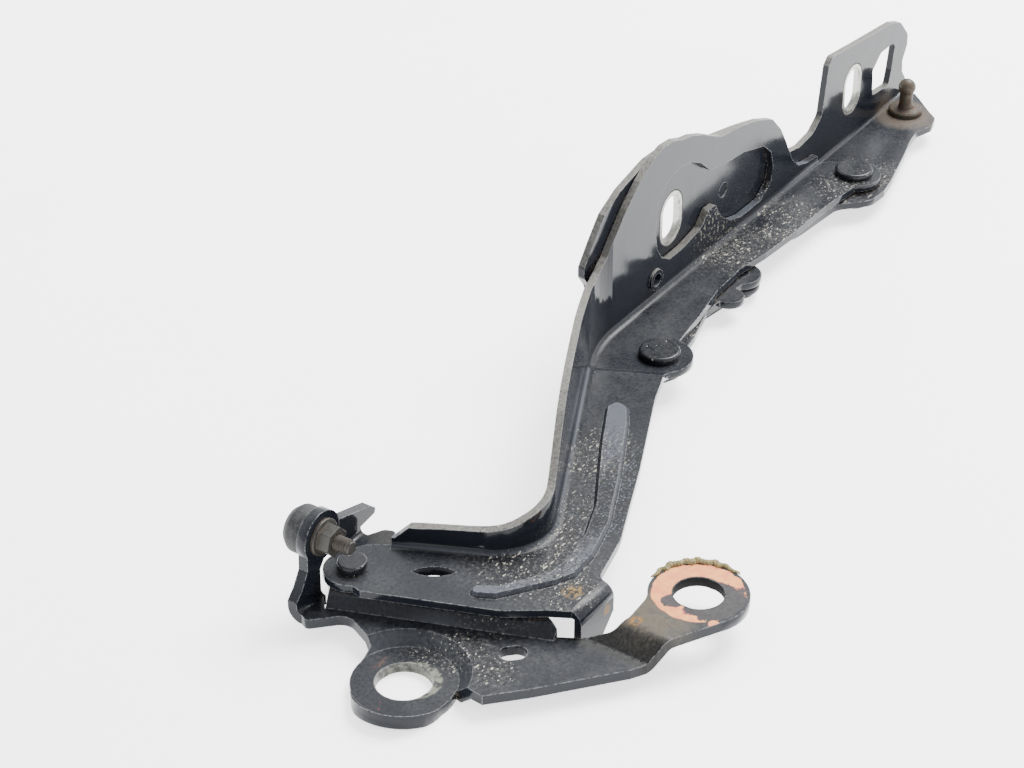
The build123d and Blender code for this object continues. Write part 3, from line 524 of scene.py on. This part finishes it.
def bonnet_marks(add, place, film, settings, facing_up):
    """Marks of the bonnet bracket: a bright ring pressed through the paint round each slot by its bolt, a
    brown stain round the ball stud, and a light beige-grey on the front flange's top edges, partly scuffed
    bare steel and partly a painted highlight."""
    spots = add("noise", place, 1 / BONNET_SPOTS, 5.0, 0.65)
    stain = times(add, near(add, ragged(add, place, 2.0, 7.0), STUD_STAIN, 9, 17),
                  add("ease", spots, 0.3, 0.6, 0.55, 1.0))
    film = lay(add, film, stain, "#4b4137", 0.65, 0.01)
    torn = ragged(add, place, 0.35, 2.0)
    edge = SLOT_WIDTH / 2 + SLOT_RING
    for slot in SLOTS:
        gap = slot_distance(add, torn, slot)
        film = lay(add, film, add("ease", gap, edge + 0.3, edge + 0.6, 1.0, 0.0), "#141312", 0.6, -0.02)
        film = lay(add, film, add("ease", gap, edge - 0.3, edge, 1.0, 0.0), settings.steel,
                   add("ease", spots, 0.3, 0.7, 0.2, 0.4), -0.05, 1.0)
    # Light beige-grey on the walls' top edges: partly bare sheared steel, partly a painted highlight
    return sheared(add, place, film, facing_up, BONNET_EDGE_LOW)


# Each painted pressing: its nodes, its material's name, its dusty places and its own marks
PRESSINGS = (
    (("body_bracket",), "body_bracket_electrocoat", BODY_DUST, body_marks),
    (("hinge_arm",), "arm_electrocoat", ARM_DUST, arm_marks),
    (("bonnet_bracket",), "bonnet_bracket_electrocoat", BONNET_DUST, bonnet_marks),
    (("limiter_lower_link", "limiter_upper_link"), "link_electrocoat", LINK_DUST, None),
)


def turned_steel(settings):
    """Phosphated rivet steel: an even dark grey conversion coat, satin, with a few flecks."""
    material, add, place = new_material("phosphated_rivet_steel")
    film = grained(add, place, (1.5, 5.0), ("#131417", "#212327"), (0.2, 0.35), 0.01)
    film = lay(add, film, flecks(add, place, RIVET_FLECK_CELL, 0.16), settings.fleck, 0.8, 0.03)
    finish_material(add, film, ior=1.42, specular=0.35)
    return material


def bearing_bronze():
    """Sintered bronze bush: dull warm brown metal with pores finer than a tenth of a millimetre, drawn
    coarser so that they show."""
    material, add, place = new_material("sintered_bronze")
    finish_material(add, grained(add, place, (0.5, 3.0), ("#7a5a34", "#a5814e"), (0.35, 0.55), 0.02,
                                 metal=1.0))
    return material


def plated_steel(settings):
    """Zinc-plated steel gone dull: grey-brown metal with dirt in its hollows."""
    material, add, place = new_material("dull_zinc_plate")
    film = grained(add, place, (1.2, 5.0), ("#2b2a28", "#4e4c48"), (0.35, 0.6), 0.03, metal=0.6)
    hollows = add("ease", add("open air", PLATE_CORNER), 0.8, 0.3)
    finish_material(add, lay(add, film, hollows, settings.dirt, 0.9))
    return material


def rusty_steel():
    """Ball stud steel with its oil dried off: olive grey with a brown rust bloom."""
    material, add, place = new_material("rust_bloomed_steel")
    finish_material(add, grained(add, place, (1.6, 6.0, 0.7), ("#3b3932", "#453526"), (0.4, 0.8), 0.08,
                                 metal=0.4, spread=(0.4, 0.62)))
    return material


def black_rubber():
    """Moulded rubber buffer: matt black with a grey bloom."""
    material, add, place = new_material("moulded_rubber")
    finish_material(add, grained(add, place, (1.4, 4.0), ("#17181a", "#3a3b3b"), (0.6, 0.8), 0.04,
                                 spread=(0.4, 0.7)))
    return material


def body_sealant(settings):
    """Seam sealant gone crumbly: olive to golden, matt and grainy."""
    material, add, place = new_material("crumbled_seam_sealant")
    finish_material(add, grained(add, place, (1.1, 6.0, 0.7), ("#635a3a", settings.sealant),
                                 (0.85, 0.85), 0.35, spread=(0.35, 0.65)))
    return material


def table_top(glow):
    """Smooth white laminate over a light table: even white with a light of its own."""
    material, add, place = new_material("white_table_top")
    film = grained(add, place, (60, 2.0), ("#f7f7f7", "#fbfbfa"), (0.5, 0.6), 0.0)
    finish_material(add, film, glow=glow)
    return material


def grid_piece(name, points, material, body):
    """Adds a closed piece from points in mm, rows of rings: cell (i, j) joins points j and j + 1 of rings
    i and i + 1, each ring closes on itself, and end rings of no width are merged to one point."""
    rings, count = points.shape[:2]
    index = np.arange(rings * count).reshape(rings, count)
    index = np.hstack([index, index[:, :1]])
    faces = np.stack([index[:-1, :-1], index[:-1, 1:], index[1:, 1:], index[1:, :-1]], axis=-1)
    mesh = bpy.data.meshes.new(name)
    mesh.from_pydata((points.reshape(-1, 3) * MM).tolist(), [], faces.reshape(-1, 4).tolist())
    shell = bmesh.new()
    shell.from_mesh(mesh)
    bmesh.ops.remove_doubles(shell, verts=shell.verts, dist=0.001 * MM)
    bmesh.ops.recalc_face_normals(shell, faces=shell.faces)
    shell.to_mesh(mesh)
    shell.free()
    mesh.shade_smooth()
    mesh.set_sharp_from_angle(angle=SHARP_ANGLE)
    mesh.materials.append(material)
    piece = bpy.data.objects.new(name, mesh)
    bpy.context.scene.collection.objects.link(piece)
    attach(piece, body)
    return piece


def screw_points(pitch):
    """The stop screw as rings along its axis. The ring's radius follows the screw's outline from tip to
    head. Over the thread it also falls by the depth times a triangle wave of the place along the axis in
    pitches less the turn, which makes the helix, and the wave fades out over the chamfered tip."""
    along = np.arange(SCREW_TIP, THREAD_END, pitch / PITCH_STEPS)
    ease = np.clip((along - SCREW_TIP) / TIP_TAPER, 0, 1)
    depth = THREAD_DEPTH_IN_PITCHES * pitch * np.clip(ease * 2 - 0.6, 0, 1)
    outline = [
        (SCREW_TIP, 0.0, 0.0), *zip(along, SCREW_R - TIP_FALL * (1 - ease), depth),
        (THREAD_END, SCREW_R, 0.0), (EAR_FACE, SCREW_R, 0.0), (EAR_FACE, SCREW_HEAD_R, 0.0),
        (HEAD_END, SCREW_HEAD_R, 0.0), (HEAD_END, 0.0, 0.0),
    ]
    y, radius, depth = np.array(outline).T[..., None]
    turn = np.linspace(0, 2 * math.pi, SCREW_SIDES, endpoint=False)[None, :]
    wave = np.abs(2 * ((y / pitch - turn / (2 * math.pi)) % 1) - 1)
    radius = radius - depth * wave
    return np.stack([SCREW_X + radius * np.cos(turn), y + 0 * turn, SCREW_Z + radius * np.sin(turn)],
                    axis=-1)


def bead_points():
    """The sealant bead as rings along an arc over the front ear's far rim. Its radius rises from nothing
    and falls back to it at the ends as the root of a sine, and is swollen and pinched by a sum of sines
    of the place along the arc and round the ring, whose rates share no factor."""
    share = np.linspace(0, 1, BEAD_RINGS)[:, None]
    turn = np.linspace(0, 2 * math.pi, BEAD_SIDES, endpoint=False)[None, :]
    angle = np.radians(BEAD_START + BEAD_SWEEP * share)
    lap = 6.28 * share
    lumps = (1.2 * np.sin(4.3 * lap + 1.3 * np.sin(turn)) + 0.8 * np.sin(11 * lap + turn)
             + 0.5 * np.sin(29.3 * lap + 2 * turn) + 0.3 * np.sin(47.7 * lap - 3 * turn))
    thick = BEAD_R * np.sqrt(np.clip(np.sin(math.pi * share), 0, 1)) * (1 + 0.12 * lumps)
    reach = FRONT_EAR_R + 0.2 + 0.4 * np.sin(7.3 * lap) + thick * np.cos(turn)
    height = FRONT_EAR_TOP + 0.1 + 0.8 * thick * np.sin(turn)
    return np.stack([FRONT_HOLE.x + reach * np.cos(angle), FRONT_HOLE.y + reach * np.sin(angle), height],
                    axis=-1)


def dress(name, material, edge_radius=0.0):
    """Puts a material on a CAD node. With an edge radius, its facets are joined into whole faces and its
    sharp edges rounded by modifiers, and its own mesh stays as it is."""
    piece = frame["nodes"][name]
    for slot in piece.material_slots:
        slot.material = material
    if edge_radius:
        weld = piece.modifiers.new("join_facets", "WELD")
        weld.merge_threshold = JOIN_GAP
        flatten = piece.modifiers.new("whole_faces", "DECIMATE")
        flatten.decimate_type = "DISSOLVE"
        flatten.angle_limit = FLAT_ANGLE
        rounding = piece.modifiers.new("sheared_edge", "BEVEL")
        rounding.width = edge_radius
        rounding.segments = 2
        rounding.limit_method = "ANGLE"
        rounding.angle_limit = SHARP_ANGLE
        rounding.harden_normals = True


class HINGE_OT_pressings(bpy.types.Operator):
    """Paint the body bracket, arm, bonnet bracket and limiter links and round their sheared edges"""
    bl_idname = "hinge.pressings"
    bl_label = "Painted pressings"

    def execute(self, context):
        for names, paint_name, dusty, marks in PRESSINGS:
            paint = black_paint(context.scene.hinge_finish, paint_name, dusty, marks)
            for name in names:
                dress(name, paint, context.scene.hinge_sizes.edge_radius)
        return {"FINISHED"}


class HINGE_OT_rivets(bpy.types.Operator):
    """Finish the rivets, washers, collars and bushes of the pivots"""
    bl_idname = "hinge.rivets"
    bl_label = "Rivets, washers and bushes"

    def execute(self, context):
        steel = turned_steel(context.scene.hinge_finish)
        bronze = bearing_bronze()
        for name in TURNED:
            dress(name, steel, RIVET_EDGE)
        for name in BUSHES:
            dress(name, bronze, BUSH_EDGE)
        return {"FINISHED"}


class HINGE_OT_stop_screw(bpy.types.Operator):
    """Finish the stop screw, its flange nut and rubber buffer"""
    bl_idname = "hinge.stop_screw"
    bl_label = "Stop screw and buffer"

    def execute(self, context):
        plate = plated_steel(context.scene.hinge_finish)
        pitch = context.scene.hinge_sizes.thread_pitch / MM
        thread = grid_piece("stop_screw_thread", screw_points(pitch), plate, "body")
        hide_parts("stop_bolt")
        dress("stop_nut", plate, RIVET_EDGE)
        dress("stop_buffer", black_rubber(), BUFFER_EDGE)
        return {"FINISHED"}


class HINGE_OT_sealant(bpy.types.Operator):
    """Lay the crumbled bead of old sealant on the front ear"""
    bl_idname = "hinge.sealant"
    bl_label = "Sealant bead"

    def execute(self, context):
        sealant = body_sealant(context.scene.hinge_finish)
        grid_piece("sealant_bead", bead_points(), sealant, "body")
        return {"FINISHED"}


class HINGE_OT_ball_stud(bpy.types.Operator):
    """Finish the gas strut's ball stud"""
    bl_idname = "hinge.ball_stud"
    bl_label = "Ball stud"

    def execute(self, context):
        dress("gas_strut_ball_stud", rusty_steel())
        return {"FINISHED"}


class HINGE_OT_stage(bpy.types.Operator):
    """Set the pale table, the soft light and the camera"""
    bl_idname = "hinge.stage"
    bl_label = "Table, light and camera"

    def execute(self, context):
        stage = context.scene.hinge_stage
        objects = context.scene.collection.objects

        half = stage.table / 2
        corners = np.array([(-half, -half), (half, -half), (half, half), (-half, half)])
        mesh = bpy.data.meshes.new("table_top")
        mesh.from_pydata(np.column_stack([corners, np.full(4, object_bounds()[0].z)]).tolist(), [],
                         [(0, 1, 2, 3)])
        mesh.materials.append(table_top(stage.glow))
        table = bpy.data.objects.new("table_top", mesh)
        objects.link(table)
        table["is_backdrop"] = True

        world = bpy.data.worlds.new("soft_room")
        world.use_nodes = True
        world.node_tree.nodes.clear()
        add = partial(node, world.node_tree)
        toward_dark = add("dot", add("direction"), DARK_CEILING)
        strength = add("ease", toward_dark, DARK_BEGINS, DARK_FULL, stage.sky, stage.ceiling)
        add("world output", add("background", linear("#fbfcff"), strength))
        context.scene.world = world

        light = bpy.data.lights.new("soft_lamp", "AREA")
        light.energy = stage.lamp
        light.size = LAMP_SIDE
        lamp = bpy.data.objects.new("soft_lamp", light)
        lamp.location = LAMP_PLACE
        lamp.rotation_euler = (LAMP_AIM - LAMP_PLACE).to_track_quat("-Z", "Y").to_euler()
        objects.link(lamp)

        lens = bpy.data.cameras.new("camera")
        lens.lens = LENS_MM
        lens.sensor_width = SENSOR_MM
        lens.clip_start = CAMERA_NEAR
        camera = bpy.data.objects.new("camera", lens)
        camera.location = CAMERA_PLACE
        camera.rotation_euler = CAMERA_LOOK.to_track_quat("-Z", "Y").to_euler()
        objects.link(camera)
        context.scene.camera = camera
        return {"FINISHED"}


class HINGE_PT_panel(bpy.types.Panel):
    """Lists the steps that dress the hinge"""
    bl_idname = "HINGE_PT_panel"
    bl_label = "Bonnet Hinge"
    bl_space_type = "VIEW_3D"
    bl_region_type = "UI"
    bl_category = "Bonnet Hinge"

    def draw(self, context):
        for group in (context.scene.hinge_finish, context.scene.hinge_sizes, context.scene.hinge_stage):
            for name in group.__annotations__:
                self.layout.prop(group, name)
        for operator in STEPS:
            self.layout.operator(operator.bl_idname)


GROUPS = {"hinge_finish": FinishSettings, "hinge_sizes": SizeSettings, "hinge_stage": StageSettings}
STEPS = (HINGE_OT_pressings, HINGE_OT_rivets, HINGE_OT_stop_screw, HINGE_OT_sealant, HINGE_OT_ball_stud,
         HINGE_OT_stage)


def register():
    """Registers the settings, the steps and the panel."""
    for cls in (*GROUPS.values(), *STEPS, HINGE_PT_panel):
        bpy.utils.register_class(cls)
    for name, group in GROUPS.items():
        setattr(bpy.types.Scene, name, bpy.props.PointerProperty(type=group))


def unregister():
    """Takes them away again."""
    for name in GROUPS:
        delattr(bpy.types.Scene, name)
    for cls in (HINGE_PT_panel, *reversed(STEPS), *GROUPS.values()):
        bpy.utils.unregister_class(cls)


def main():
    """Dresses the hinge step by step."""
    register()
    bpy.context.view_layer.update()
    bpy.ops.hinge.pressings()
    bpy.ops.hinge.rivets()
    bpy.ops.hinge.stop_screw()
    bpy.ops.hinge.sealant()
    bpy.ops.hinge.ball_stud()
    bpy.ops.hinge.stage()


if __name__ == "__main__":
    main()
